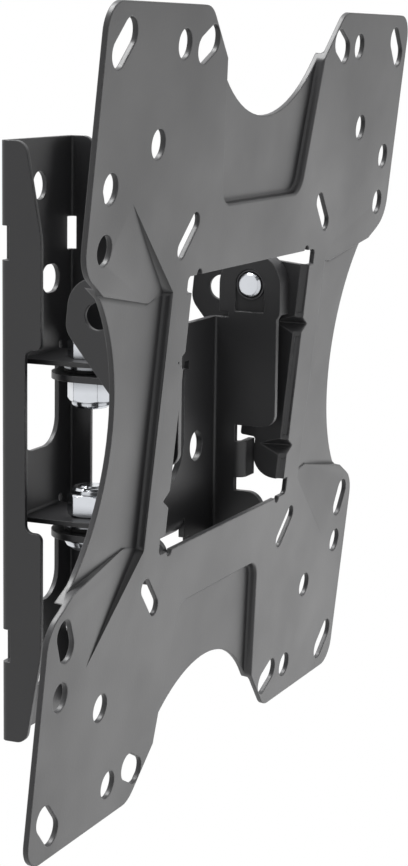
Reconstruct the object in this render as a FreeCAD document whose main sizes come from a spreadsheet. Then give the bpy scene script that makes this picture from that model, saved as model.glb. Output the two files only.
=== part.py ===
"""A small tilting and swivelling wall mount for a flat screen.

Frame: millimetres, +Z up. The origin is the centre of the wall plate's back
face, on the wall. The wall is the plane Y = 0 and the mount stands out of it
towards -Y. +X is to the right of someone who looks at the front plate.

Four folded sheets make the mount. A channel with two lanced tabs is screwed to
the wall. A yoke turns on two M8 bolts through those tabs. The front plate hangs
between the yoke's ears on two more M8 bolts, and carries the screen.
"""
import FreeCAD, Part
import math
import os
import Sketcher

# Every driving size in millimetres, or in degrees where the note says so.
SIZES = [
    # running fits
    ("slip_gap", 0.05, "between a turning face and the face it slides on"),
    ("shaft_gap", 0.08, "round a bolt that a turning sheet runs on"),
    ("seat_gap", 0.03, "round a bolt in a piece that it is fixed to"),
    ("swing_gap", 0.3, "between two bodies that only pass each other"),
    # M8 hardware
    ("bolt_radius", 4.0, "thread's outer radius"),
    ("bolt_tip", 0.6, "chamfer on the bolt's end"),
    ("bolt_spare", 0.4, "bolt's end past its nut"),
    ("hex_flats", 13.0, "across the flats of heads and nuts"),
    ("head_height", 5.3, "height of a hex head"),
    ("dome_radius", 8.25, "radius of the lower swivel bolt's round head"),
    ("dome_height", 4.8, "height of that round head"),
    ("nut_hex", 6.8, "height of a lock nut's hexagon"),
    ("nut_height", 8.7, "height of a lock nut with its collar"),
    ("collar_radius", 5.9, "outer radius of a lock nut's collar"),
    ("ring_height", 1.7, "height of the nylon ring in the collar"),
    ("nut_spin", -20.0, "degrees that the swivel's nuts came to rest at"),
    ("washer_radius", 8.2, "outer radius of the swivel washers"),
    ("washer_thick", 1.6, "steel washer"),
    ("slip_washer", 1.0, "plastic washer"),
    # wall plate
    ("wall_sheet", 1.5, "thickness of the wall plate's sheet"),
    ("wall_width", 44.0, "width of the channel"),
    ("wall_height", 179.4, "height of the channel"),
    ("wall_bend", 0.6, "inner radius of its bends"),
    ("wall_depth", 13.5, "depth of the side flanges"),
    ("wall_end_depth", 8.4, "depth of the flanges at both ends"),
    ("wall_end_round", 3.8, "round of the flanges' end corners"),
    ("wall_taper_rise", 61.6, "height at which the flanges reach full depth"),
    ("wall_taper_round", 30.0, "round where the taper meets the straight edge"),
    ("notch_depth", 8.3, "flange depth left in the swivel notch"),
    ("notch_top", 29.4, "top of the swivel notch"),
    ("notch_drop", 54.4, "height of the swivel notch"),
    ("notch_round", 2.2, "rounds of the swivel notch"),
    ("corner_slot_rise", 60.2, "height of the corner slots above the centre"),
    ("corner_slot_tall", 10.0, "height of a corner slot"),
    ("corner_slot_inset", 4.2, "reach of a corner slot into the web"),
    ("corner_slot_depth", 3.1, "reach of a corner slot into the flange"),
    ("screw_radius", 4.3, "round wall screw holes"),
    ("screw_top_x", 0.0, "upper screw hole"),
    ("screw_top_rise", 75.6, "upper screw hole"),
    ("screw_slot_x", 7.0, "levelling slot"),
    ("screw_slot_rise", 47.3, "levelling slot"),
    ("screw_slot_half", 1.4, "half the levelling slot's straight run"),
    ("screw_low_rise", -74.0, "lower screw hole"),
    ("tab_top", 25.4, "top face of the upper wall tab"),
    ("tab_spacing", 47.9, "from one wall tab to the other"),
    ("tab_half", 12.3, "half the width of a wall tab"),
    ("tab_reach", 29.9, "from the wall to a wall tab's edge"),
    ("tab_round", 8.5, "round of a wall tab's free corners"),
    ("tab_bend", 1.0, "inner radius of the lanced tabs' bends"),
    ("tab_window", 29.2, "height of the opening a wall tab was lanced from"),
    ("relief_radius", 1.3, "round relief at the ends of a lanced bend"),
    ("swivel_out", 18.9, "from the wall to the swivel axis"),
    # swivel yoke
    ("yoke_sheet", 2.0, "thickness of the yoke's sheet"),
    ("yoke_out", 43.9, "from the wall to the yoke web's front face"),
    ("yoke_inside", 69.4, "between the yoke's side flanges"),
    ("yoke_bend", 0.8, "inner radius of its bends"),
    ("yoke_top", 35.5, "top of the yoke's web"),
    ("yoke_bottom", -32.0, "bottom of the yoke's web"),
    ("tongue_radius", 12.0, "round end of the yoke's tongues"),
    ("tongue_bend", 3.0, "inner radius of the tongues' bends"),
    ("tongue_relief", 3.2, "width of the relief beside the upper tongue"),
    ("notch_half", 16.5, "half the width of the notch under the lower tongue"),
    ("notch_foot", 1.2, "from the lower tongue down to that notch"),
    ("yoke_window_low", 0.3, "centre of the round foot of the yoke's opening"),
    ("yoke_hole_radius", 4.65, "two spare holes in the yoke's web"),
    ("yoke_hole_x", 21.2, "spare holes"),
    ("yoke_hole_rise", -2.8, "spare holes"),
    ("cheek_out", 64.0, "from the wall to the side flanges' front edge"),
    ("cheek_low", 2.2, "lower end of the side flanges' front edge"),
    ("cheek_round", 4.0, "round of that lower corner"),
    ("stop_out", 53.9, "from the wall to the stop tabs' front face"),
    ("stop_top", -3.0, "top of the stop tabs"),
    ("stop_bottom", -14.3, "bottom of the stop tabs"),
    ("stop_bend", 1.0, "inner radius of the stop tabs' bends"),
    ("foot_out", 60.3, "from the wall to the lower tongue of the side flanges"),
    ("foot_top", -18.4, "top of that lower tongue"),
    ("foot_round", 5.0, "round of its front corner"),
    ("gullet_out", 50.9, "from the wall to the foot of the flange's notches"),
    ("ear_radius", 10.0, "round top of an ear"),
    ("ear_slot", 1.5, "height of the bend relief under an ear"),
    ("ear_slot_run", 3.0, "length of that relief"),
    ("rim_low", 36.8, "lower end of an ear's outward rim"),
    ("coin_depth", 0.7, "depth of the coined patch inside an ear"),
    ("coin_half", 4.7, "half its width"),
    ("coin_low", 37.4, "lower end of the coined patch"),
    # tilt pivot
    ("pivot_out", 55.05, "from the wall to the tilt axis"),
    ("pivot_rise", 45.7, "height of the tilt axis"),
    ("rest_tilt", 5.95, "degrees that the plate's top leans forward at rest"),
    ("side_gap", 5.3, "between an ear and the plate's flange"),
    ("insert_radius", 4.6, "threaded insert in an ear"),
    ("insert_flange", 6.6, "outer radius of its flange"),
    ("insert_thick", 1.9, "thickness of its flange"),
    ("bush_radius", 7.0, "outer radius of the friction bush"),
    ("tip_inside", 0.9, "bolt's end past the inside of an ear"),
    ("tilt_washer_radius", 8.4, "washer under a tilt bolt's head"),
    # front plate, measured along the plate and behind its front face
    ("plate_sheet", 1.5, "thickness of the plate"),
    ("plate_edge", 10.0, "from the outermost screen holes to the plate's edge"),
    ("plate_corner", 7.5, "round of the outer corners"),
    ("pivot_depth", 15.0, "tilt axis behind the plate's front face"),
    ("pivot_up", 26.3, "tilt axis above the plate's centre"),
    ("press_depth", 2.4, "depth of the pressed fields"),
    ("top_arc_radius", 48.5, "arc in the top and bottom edges"),
    ("top_arc_apex", 80.1, "that arc's nearest point to the centre"),
    ("top_arc_half", 33.0, "half the width of that arc"),
    ("top_lobe", 50.0, "where the slope beside the arc meets the edge"),
    ("top_lobe_round", 8.5, "round of that corner"),
    ("side_arc_radius", 53.0, "arc in the side edges"),
    ("side_arc_apex", 79.9, "that arc's nearest point to the centre"),
    ("side_arc_half", 37.0, "half the height of that arc"),
    ("side_lobe", 45.0, "where the slope beside the arc meets the edge"),
    ("side_lobe_round", 9.5, "round of that corner"),
    ("field_base", 57.0, "base line of the upper and lower pressed fields"),
    ("field_foot", 29.0, "half the width of those fields at their base"),
    ("field_end", 40.0, "half the width of those fields at the edge"),
    ("field_round", 6.0, "round of their base corners"),
    ("side_field", 57.0, "inner wall of the side fields"),
    ("side_field_half", 35.0, "half the height of that wall"),
    ("facet_x", 86.4, "outer end of a side field's slanting wall"),
    ("facet_y", 60.6, "outer end of a side field's slanting wall"),
    ("step_x", 66.0, "inner end of the step in a side field"),
    ("step_y", 33.0, "inner end of the step in a side field"),
    ("step_slope", 0.17, "rise of the step line"),
    ("round_hole", 3.9, "round screen holes"),
    ("slot_hole", 3.8, "half the width of the wide screen slots"),
    ("thin_slot_hole", 2.5, "half the width of the inner screen slots"),
    ("vesa_outer", 100.0, "half the 200 mm pattern"),
    ("vesa_middle", 75.0, "half the 150 mm pattern"),
    ("vesa_inner", 50.0, "half the 100 mm pattern"),
    ("corner_run", 3.5, "half the straight run of the slots at the outer corners"),
    ("edge_run", 3.0, "half the straight run of the slots beside the arcs"),
    ("side_run", 2.5, "half the straight run of the slots at the lower sides"),
    ("inner_run", 5.0, "half the straight run of the inner slots"),
    ("slot_lean", 26.6, "degrees that the edge slots lean"),
    ("spare_row", 65.0, "spare holes between the patterns"),
    ("window_half", 38.7, "half the height of the middle window"),
    ("window_side", 47.0, "half the width of the window above and below its flanges"),
    ("window_relief", 1.6, "round reliefs in the window's edges"),
    ("window_round", 1.5, "round of the window's corners"),
    ("flange_bend", 0.4, "inner radius of the bend beside the window"),
    ("flange_top", 34.1, "top of the plate's flanges"),
    ("flange_bottom", -33.5, "bottom of the plate's flanges"),
    ("flange_back", 10.4, "depth of their foot, which rests on the yoke's stop tab"),
    ("flange_foot_round", 7.0, "round of the lower rear corner"),
    ("flange_step", -21.6, "top of that foot"),
    ("flange_middle", 15.4, "depth of their middle part"),
    ("flange_rise", -4.0, "where the rear edge starts to slant back to the lobe"),
    ("lobe_slope", 1.0, "rise of that slant"),
    ("lobe_depth", 27.5, "centre of the rear lobe's hole"),
    ("lobe_up", 22.9, "centre of the rear lobe's hole"),
    ("lobe_radius", 9.4, "round of the rear lobe"),
    ("lobe_hole", 3.75, "empty hole in the rear lobe"),
    ("gusset_high", 15.4, "upper gusset in the bend"),
    ("gusset_low", -23.2, "lower gusset in the bend"),
    ("gusset_reach", 4.0, "reach of a gusset's groove along the plate"),
    ("gusset_depth", 8.5, "reach of a gusset's groove along the flange"),
    ("gusset_half", 3.5, "half the height of that groove at the corner"),
    ("gusset_wall", 2.0, "from the bottom of the groove to the crest of its rib"),
]


class Size:
    """A size that carries both its number and its formula in the sheet."""

    def __init__(self, value, text):
        self.value = value
        self.text = text

    def __add__(self, other):
        other = size(other)
        return Size(self.value + other.value, "(%s + %s)" % (self.text, other.text))

    def __sub__(self, other):
        other = size(other)
        return Size(self.value - other.value, "(%s - %s)" % (self.text, other.text))

    def __mul__(self, other):
        other = size(other)
        return Size(self.value * other.value, "(%s * %s)" % (self.text, other.text))

    def __truediv__(self, other):
        other = size(other)
        return Size(self.value / other.value, "(%s / %s)" % (self.text, other.text))

    def __radd__(self, other):
        return size(other) + self

    def __rsub__(self, other):
        return size(other) - self

    def __rmul__(self, other):
        return size(other) * self

    def __neg__(self):
        return Size(-self.value, "(0 - %s)" % self.text)


def size(value):
    """A plain number becomes a size, and a size stays what it is."""
    if isinstance(value, Size):
        return value
    return Size(float(value), repr(float(value)))


def root(value):
    """Square root of a size."""
    return Size(math.sqrt(value.value), "sqrt(%s)" % value.text)


def cosine(angle):
    """Cosine of a size that counts degrees."""
    return Size(math.cos(math.radians(angle.value)), "cos(%s * 1 deg)" % angle.text)


def sine(angle):
    """Sine of a size that counts degrees."""
    return Size(math.sin(math.radians(angle.value)), "sin(%s * 1 deg)" % angle.text)


class Sheet:
    """The driving sizes, read as attributes."""


doc = FreeCAD.newDocument("tv_mount")
sheet = doc.addObject("Spreadsheet::Sheet", "Sizes")
s = Sheet()
for row, (name, number, note) in enumerate(SIZES, start=1):
    sheet.set("A%d" % row, name)
    sheet.set("B%d" % row, str(number))
    sheet.set("C%d" % row, note)
    sheet.setAlias("B%d" % row, name)
    setattr(s, name, Size(number, "Sizes.%s" % name))
doc.recompute()


def vector(x, y, z=0.0):
    return FreeCAD.Vector(size(x).value, size(y).value, size(z).value)


def bind(item, path, value):
    """Ties one property of an object to the sheet."""
    item.setExpression(path, size(value).text)


# Bodies, sketches and features.

def new_body(name):
    body = doc.addObject("PartDesign::Body", name)
    body.Label = name
    return body


def plane_of(body, role):
    for item in body.Origin.OriginFeatures:
        if item.Role == role:
            return item
    raise ValueError(role)


def new_sketch(body, name, role, offset=None):
    """A sketch on one of the body's own planes, or at an offset along its normal."""
    sketch = body.newObject("Sketcher::SketchObject", name)
    sketch.AttachmentSupport = [(plane_of(body, role), "")]
    sketch.MapMode = "FlatFace"
    if offset is not None:
        sketch.AttachmentOffset = FreeCAD.Placement(vector(0, 0, offset), FreeCAD.Rotation())
        bind(sketch, "AttachmentOffset.Base.z", offset)
    return sketch


def limit(sketch, constraint, value=None):
    """Adds one constraint and ties its value to the sheet."""
    index = sketch.addConstraint(constraint)
    if value is not None:
        bind(sketch, "Constraints[%d]" % index, value)


def pin_point(sketch, geometry, end, x, y):
    """Holds a point of the sketch at a position from the sheet."""
    for kind, value in (("DistanceX", size(x)), ("DistanceY", size(y))):
        limit(sketch, Sketcher.Constraint(kind, geometry, end, value.value), value)


def add_arc(sketch, centre, radius, first, second, left):
    """An arc from first to second, turning left or right; returns its two end marks."""
    start, stop = (first, second) if left else (second, first)
    begin = math.atan2(start.y - centre.y, start.x - centre.x)
    end = math.atan2(stop.y - centre.y, stop.x - centre.x)
    if end <= begin:
        end += 2 * math.pi
    circle = Part.Circle(centre, FreeCAD.Vector(0, 0, 1), radius)
    index = sketch.addGeometry(Part.ArcOfCircle(circle, begin, end))
    return (index, 1, 2) if left else (index, 2, 1)


def outline(sketch, corners):
    """Adds a closed outline.

    A corner is (x, y), or (x, y, r) with a round of radius r. A corner
    (x, y, None, r) starts an arc of radius r that ends at the next corner and
    bends to the left, or to the right where r is negative.
    """
    count = len(corners)
    points = [vector(corner[0], corner[1]) for corner in corners]
    rounds = [corner[2] if len(corner) > 2 else None for corner in corners]
    bends = [corner[3] if len(corner) > 3 else None for corner in corners]
    arrive, leave = list(points), list(points)
    for i in range(count):
        if rounds[i] is None:
            continue
        back = (points[i] - points[i - 1]).normalize()
        ahead = (points[(i + 1) % count] - points[i]).normalize()
        run = size(rounds[i]).value * math.tan(back.getAngle(ahead) / 2)
        arrive[i] = points[i] - back * run
        leave[i] = points[i] + ahead * run
    sides = []
    for i in range(count):
        first, second = leave[i], arrive[(i + 1) % count]
        if bends[i] is None:
            sides.append((sketch.addGeometry(Part.LineSegment(first, second)), 1, 2))
            continue
        left = size(bends[i]).value > 0
        radius = abs(size(bends[i]).value)
        chord = second - first
        height = math.sqrt(radius ** 2 - (chord.Length / 2) ** 2)
        normal = FreeCAD.Vector(-chord.y, chord.x, 0).normalize()
        centre = (first + second) * 0.5 + normal * (height if left else -height)
        side = add_arc(sketch, centre, radius, first, second, left)
        sides.append(side)
        value = size(bends[i]) if left else -size(bends[i])
        limit(sketch, Sketcher.Constraint("Radius", side[0], radius), value)
    for i in range(count):
        before, after = sides[i - 1], sides[i]
        x, y = corners[i][0], corners[i][1]
        if rounds[i] is None:
            limit(sketch, Sketcher.Constraint("Coincident", before[0], before[2], after[0], after[1]))
            pin_point(sketch, after[0], after[1], x, y)
            continue
        back = points[i] - points[i - 1]
        ahead = points[(i + 1) % count] - points[i]
        left = back.x * ahead.y - back.y * ahead.x > 0
        radius = size(rounds[i]).value
        normal = FreeCAD.Vector(-back.y, back.x, 0).normalize()
        centre = arrive[i] + normal * (radius if left else -radius)
        turn = add_arc(sketch, centre, radius, arrive[i], leave[i], left)
        mark = sketch.addGeometry(Part.Point(points[i]), True)
        limit(sketch, Sketcher.Constraint("Tangent", before[0], before[2], turn[0], turn[1]))
        limit(sketch, Sketcher.Constraint("Tangent", turn[0], turn[2], after[0], after[1]))
        limit(sketch, Sketcher.Constraint("PointOnObject", mark, 1, before[0]))
        limit(sketch, Sketcher.Constraint("PointOnObject", mark, 1, after[0]))
        limit(sketch, Sketcher.Constraint("Radius", turn[0], radius), rounds[i])
        pin_point(sketch, mark, 1, x, y)


def add_circle(sketch, x, y, radius):
    circle = Part.Circle(vector(x, y), FreeCAD.Vector(0, 0, 1), size(radius).value)
    index = sketch.addGeometry(circle)
    limit(sketch, Sketcher.Constraint("Radius", index, size(radius).value), radius)
    pin_point(sketch, index, 3, x, y)


def add_slot(sketch, x, y, half_run, radius, tilt):
    """A round-ended slot centred at (x, y) whose long axis is tilt degrees from +x."""
    tilt = size(tilt)
    along_x, along_y = cosine(tilt), sine(tilt)
    ends = [(x - half_run * along_x, y - half_run * along_y)]
    ends.append((x + half_run * along_x, y + half_run * along_y))
    side_x, side_y = radius * along_y, radius * along_x
    corners = [
        (ends[0][0] + side_x, ends[0][1] - side_y),
        (ends[1][0] + side_x, ends[1][1] - side_y),
        (ends[1][0] - side_x, ends[1][1] + side_y),
        (ends[0][0] - side_x, ends[0][1] + side_y),
    ]
    points = [vector(*corner) for corner in corners]
    centres = [vector(*end) for end in ends]
    sides = [
        (sketch.addGeometry(Part.LineSegment(points[0], points[1])), 1, 2),
        add_arc(sketch, centres[1], size(radius).value, points[1], points[2], True),
        (sketch.addGeometry(Part.LineSegment(points[2], points[3])), 1, 2),
        add_arc(sketch, centres[0], size(radius).value, points[3], points[0], True),
    ]
    for i in range(4):
        before, after = sides[i - 1], sides[i]
        limit(sketch, Sketcher.Constraint("Tangent", before[0], before[2], after[0], after[1]))
    limit(sketch, Sketcher.Constraint("Radius", sides[1][0], size(radius).value), radius)
    pin_point(sketch, sides[1][0], 3, *ends[1])
    pin_point(sketch, sides[3][0], 3, *ends[0])


def pad(body, sketch, length, name, symmetric=False, back=False):
    feature = body.newObject("PartDesign::Pad", name)
    feature.Profile = sketch
    feature.Length = size(length).value
    bind(feature, "Length", length)
    if symmetric:
        feature.SideType = "Symmetric"
    feature.Reversed = back
    doc.recompute()
    return feature


def pocket(body, sketch, name, length=None, back=False):
    """Cuts right through both ways, or a given length."""
    before = body.Shape.Volume
    feature = body.newObject("PartDesign::Pocket", name)
    feature.Profile = sketch
    if length is None:
        feature.SideType = "Symmetric"
        feature.Type = "ThroughAll"
    else:
        feature.Length = size(length).value
        bind(feature, "Length", length)
        feature.Reversed = back
    doc.recompute()
    if not body.Shape.Volume < before - 1e-6:
        raise RuntimeError("the cut %s removes nothing" % name)
    return feature


def mirror(body, features, role, name):
    feature = body.newObject("PartDesign::Mirrored", name)
    feature.Originals = features
    feature.MirrorPlane = (plane_of(body, role), [""])
    body.Tip = feature
    doc.recompute()
    return feature


def both_ways(body, features, roles, name):
    """Repeats features across two of the body's planes."""
    steps = []
    for role in roles:
        step = body.newObject("PartDesign::Mirrored", "%s_%s" % (name, role))
        step.MirrorPlane = (plane_of(body, role), [""])
        steps.append(step)
    feature = body.newObject("PartDesign::MultiTransform", name)
    feature.Originals = features
    feature.Transformations = steps
    body.Tip = feature
    doc.recompute()
    return feature


def round_edges(body, base, places, radius, name, kind="PartDesign::Fillet"):
    """Rounds, or chamfers, the edges whose middles are nearest to the given places."""
    names = []
    for place in places:
        best = None
        for index, edge in enumerate(base.Shape.Edges, start=1):
            middle = edge.valueAt((edge.FirstParameter + edge.LastParameter) / 2)
            distance = middle.distanceToPoint(place)
            if best is None or distance < best[0]:
                best = (distance, "Edge%d" % index)
        names.append(best[1])
    feature = body.newObject(kind, name)
    feature.Base = (base, names)
    key = "Radius" if kind == "PartDesign::Fillet" else "Size"
    setattr(feature, key, size(radius).value)
    bind(feature, key, radius)
    doc.recompute()
    return feature


def place(body, x, y, z, axis=None, angle=None, spin=0):
    """Puts a body at its seat, turned about one axis and then spun about the upright."""
    turn = FreeCAD.Rotation()
    if axis is not None:
        turn = FreeCAD.Rotation(FreeCAD.Vector(*axis), size(angle).value)
    turn = FreeCAD.Rotation(FreeCAD.Vector(0, 0, 1), size(spin).value).multiply(turn)
    body.Placement = FreeCAD.Placement(vector(x, y, z), turn)
    for key, value in (("x", x), ("y", y), ("z", z)):
        bind(body, "Placement.Base.%s" % key, value)
    return body


# Derived places that several pieces share.
tab_levels = [s.tab_top, s.tab_top - s.tab_spacing]
stack = s.washer_thick + s.slip_washer
tongue_tops = [level - s.wall_sheet - stack - s.slip_gap for level in tab_levels]
swivel_y = -s.swivel_out
pivot_y = -s.pivot_out
yoke_half = s.yoke_inside / 2
cheek_half = yoke_half + s.yoke_sheet
flange_x = cheek_half + s.side_gap
rim_half = flange_x - s.swing_gap
flange_turn = s.flange_bend + s.plate_sheet
window_x = flange_x + flange_turn
swivel_hole = s.bolt_radius + s.shaft_gap
ring_outer = s.collar_radius - 0.9
wall_across = s.facet_x - s.side_field
wall_up = s.facet_y - s.side_field_half
wall_run = root(wall_across * wall_across + wall_up * wall_up)


def make_wall_plate():
    """The channel on the wall, with two lanced tabs for the swivel."""
    body = new_body("wall_plate")
    half, top = s.wall_width / 2, s.wall_height / 2
    notch_bottom = s.notch_top - s.notch_drop

    side = new_sketch(body, "wall_side", "YZ_Plane")
    outline(side, [
        (0, -top), (-s.wall_end_depth, -top, s.wall_end_round),
        (-s.wall_depth, -s.wall_taper_rise, s.wall_taper_round),
        (-s.wall_depth, notch_bottom, s.notch_round),
        (-s.notch_depth, notch_bottom, s.notch_round),
        (-s.notch_depth, s.notch_top, s.notch_round),
        (-s.wall_depth, s.notch_top, s.notch_round),
        (-s.wall_depth, s.wall_taper_rise, s.wall_taper_round),
        (-s.wall_end_depth, top, s.wall_end_round), (0, top),
    ])
    block = pad(body, side, s.wall_width, "wall_block", symmetric=True)
    bend = round_edges(body, block, [vector(half, 0, 0), vector(-half, 0, 0)],
                       s.wall_bend + s.wall_sheet, "wall_outer_bends")

    inside = new_sketch(body, "wall_inside", "XY_Plane")
    far = -s.wall_depth * 2
    outline(inside, [
        (-half + s.wall_sheet, far), (half - s.wall_sheet, far),
        (half - s.wall_sheet, -s.wall_sheet, s.wall_bend),
        (-half + s.wall_sheet, -s.wall_sheet, s.wall_bend),
    ])
    pocket(body, inside, "wall_hollow")

    # corner slots run from the web round into the flanges
    corners = new_sketch(body, "corner_slots", "XZ_Plane")
    for rise in (s.corner_slot_rise, -s.corner_slot_rise):
        low, high = rise - s.corner_slot_tall / 2, rise + s.corner_slot_tall / 2
        for first, second in ((half - s.corner_slot_inset, half + 1),
                              (-half - 1, -half + s.corner_slot_inset)):
            outline(corners, [(first, low), (second, low), (second, high), (first, high)])
    pocket(body, corners, "corner_slot_cuts", s.corner_slot_depth, back=True)

    # openings that the tabs were lanced from, with round reliefs at the bends
    for number, level in enumerate(tab_levels):
        window = new_sketch(body, "tab_window_%d" % number, "XZ_Plane")
        low = level - s.tab_window
        outline(window, [
            (-s.tab_half, level + s.tab_bend), (-s.tab_half, low, s.tab_round),
            (s.tab_half, low, s.tab_round), (s.tab_half, level + s.tab_bend),
        ])
        pocket(body, window, "tab_window_cut_%d" % number, s.wall_sheet * 2, back=True)
        relief = new_sketch(body, "tab_relief_%d" % number, "XZ_Plane")
        for side_x in (s.tab_half + s.relief_radius * 0.8, -s.tab_half - s.relief_radius * 0.8):
            add_circle(relief, side_x, level + s.tab_bend, s.relief_radius)
        pocket(body, relief, "tab_relief_cut_%d" % number, s.wall_sheet * 2, back=True)

    for number, level in enumerate(tab_levels):
        fold = new_sketch(body, "tab_fold_%d" % number, "YZ_Plane")
        low = level - s.wall_sheet
        head = level + s.tab_bend * 3
        outline(fold, [
            (0, head), (0, low, s.tab_bend + s.wall_sheet), (-s.tab_reach, low),
            (-s.tab_reach, level), (-s.wall_sheet, level, s.tab_bend), (-s.wall_sheet, head),
        ])
        tab = pad(body, fold, s.tab_half * 2, "tab_%d" % number, symmetric=True)
        ends = [vector(x, -s.tab_reach, level - s.wall_sheet / 2) for x in (s.tab_half, -s.tab_half)]
        round_edges(body, tab, ends, s.tab_round, "tab_corners_%d" % number)

    bores = new_sketch(body, "swivel_bores", "XY_Plane")
    add_circle(bores, 0, swivel_y, s.bolt_radius + s.seat_gap)
    pocket(body, bores, "swivel_bore_cuts")

    screws = new_sketch(body, "screw_holes", "XZ_Plane")
    add_circle(screws, s.screw_top_x, s.screw_top_rise, s.screw_radius)
    add_circle(screws, 0, s.screw_low_rise, s.screw_radius)
    add_slot(screws, s.screw_slot_x, s.screw_slot_rise, s.screw_slot_half, s.screw_radius, 0)
    pocket(body, screws, "screw_hole_cuts")
    return body


def make_yoke():
    """The folded yoke that turns between the wall tabs and carries the tilt ears."""
    body = new_body("swivel_yoke")
    back = -s.yoke_out + s.yoke_sheet
    ear_back, ear_front = pivot_y + s.ear_radius, pivot_y - s.ear_radius
    slot_top = s.yoke_top + s.ear_slot
    slot_end = ear_back - s.ear_slot_run

    side = new_sketch(body, "yoke_side", "YZ_Plane")
    outline(side, [
        (back, s.yoke_bottom), (back, s.yoke_top), (slot_end, s.yoke_top), (slot_end, slot_top),
        (ear_back, slot_top), (ear_back, s.pivot_rise, None, s.ear_radius),
        (pivot_y, s.pivot_rise + s.ear_radius, None, s.ear_radius),
        (ear_front, s.pivot_rise), (ear_front, slot_top), (-s.cheek_out, s.yoke_top),
        (-s.cheek_out, s.cheek_low, s.cheek_round), (-s.gullet_out, s.cheek_low),
        (-s.gullet_out, s.foot_top), (-s.foot_out, s.foot_top, s.foot_round),
        (-s.foot_out, s.yoke_bottom),
    ])
    block = pad(body, side, cheek_half * 2, "yoke_block", symmetric=True)
    middle = (s.yoke_bottom + s.yoke_top) / 2
    round_edges(body, block, [vector(x, back, middle) for x in (cheek_half, -cheek_half)],
                s.yoke_bend + s.yoke_sheet, "yoke_outer_bends")
    inside = new_sketch(body, "yoke_inside_section", "XY_Plane")
    outline(inside, [
        (-yoke_half, -s.cheek_out * 2), (yoke_half, -s.cheek_out * 2),
        (yoke_half, -s.yoke_out, s.yoke_bend), (-yoke_half, -s.yoke_out, s.yoke_bend),
    ])
    pocket(body, inside, "yoke_hollow")

    # opening that the upper tongue was lanced from, and the notch of the lower one
    wide = s.tongue_radius + s.tongue_relief
    hinge = tongue_tops[0] + s.tongue_bend
    window = new_sketch(body, "yoke_window", "XZ_Plane", s.yoke_out - s.yoke_sheet)
    foot = s.yoke_window_low
    outline(window, [
        (-wide, hinge), (-wide, hinge - s.relief_radius * 2),
        (-s.tongue_radius, hinge - s.relief_radius * 2),
        (-s.tongue_radius, foot, None, s.tongue_radius),
        (0, foot - s.tongue_radius, None, s.tongue_radius), (s.tongue_radius, foot),
        (s.tongue_radius, hinge - s.relief_radius * 2), (wide, hinge - s.relief_radius * 2),
        (wide, hinge),
    ])
    pocket(body, window, "yoke_window_cut", s.yoke_sheet * 2, back=True)
    notch = new_sketch(body, "yoke_notch", "XZ_Plane", s.yoke_out - s.yoke_sheet)
    high = tongue_tops[1] + s.tongue_bend
    foot = tongue_tops[1] - s.yoke_sheet - s.notch_foot
    edge, wide = s.notch_half, s.tongue_radius + s.relief_radius
    outline(notch, [
        (-edge, s.yoke_bottom - 1), (edge, s.yoke_bottom - 1), (edge, foot), (wide, foot),
        (wide, high, s.relief_radius / 2), (-wide, high, s.relief_radius / 2), (-wide, foot),
        (-edge, foot),
    ])
    pocket(body, notch, "yoke_notch_cut", s.yoke_sheet * 2, back=True)

    for number, top in enumerate(tongue_tops):
        fold = new_sketch(body, "tongue_fold_%d" % number, "YZ_Plane")
        low = top - s.yoke_sheet
        head = top + s.tongue_bend + 0.5
        outline(fold, [
            (-s.yoke_out, head), (-s.yoke_out, low, s.tongue_bend + s.yoke_sheet), (swivel_y, low),
            (swivel_y, top), (back, top, s.tongue_bend), (back, head),
        ])
        pad(body, fold, s.tongue_radius * 2, "tongue_%d" % number, symmetric=True)
        disc = new_sketch(body, "tongue_end_%d" % number, "XY_Plane", low)
        add_circle(disc, 0, swivel_y, s.tongue_radius)
        pad(body, disc, s.yoke_sheet, "tongue_disc_%d" % number)
    bores = new_sketch(body, "tongue_bores", "XY_Plane")
    add_circle(bores, 0, swivel_y, swivel_hole)
    pocket(body, bores, "tongue_bore_cuts")

    spare = new_sketch(body, "yoke_spare_holes", "XZ_Plane", s.yoke_out - s.yoke_sheet)
    for x in (s.yoke_hole_x, -s.yoke_hole_x):
        add_circle(spare, x, s.yoke_hole_rise, s.yoke_hole_radius)
    pocket(body, spare, "yoke_spare_cuts", s.yoke_sheet * 2, back=True)

    # stop tabs: the flange turns outward where the plate's flange comes to rest
    stop = new_sketch(body, "stop_section", "XY_Plane", s.stop_bottom)
    outer = s.stop_bend + s.yoke_sheet
    reach = flange_x + s.plate_sheet
    start = -s.yoke_out - s.yoke_bend
    outline(stop, [
        (yoke_half, start), (yoke_half, -s.stop_out, outer), (reach, -s.stop_out),
        (reach, -s.stop_out + s.yoke_sheet), (cheek_half, -s.stop_out + s.yoke_sheet, s.stop_bend),
        (cheek_half, start),
    ])
    stop_pad = pad(body, stop, s.stop_top - s.stop_bottom, "stop_tab")

    # the outward rim that stiffens each ear, along its front and over its top
    rim = new_sketch(body, "rim_section", "YZ_Plane", cheek_half - s.yoke_sheet / 2)
    inner = s.ear_radius - s.yoke_sheet
    outline(rim, [
        (ear_front + s.yoke_sheet, s.rim_low), (ear_front + s.yoke_sheet, s.pivot_rise, None, -inner),
        (pivot_y, s.pivot_rise + inner, None, -inner), (ear_back - s.yoke_sheet, s.pivot_rise),
        (ear_back, s.pivot_rise, None, s.ear_radius),
        (pivot_y, s.pivot_rise + s.ear_radius, None, s.ear_radius), (ear_front, s.pivot_rise),
        (ear_front, s.rim_low),
    ])
    rim_pad = pad(body, rim, rim_half - cheek_half + s.yoke_sheet / 2, "ear_rim")

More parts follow.
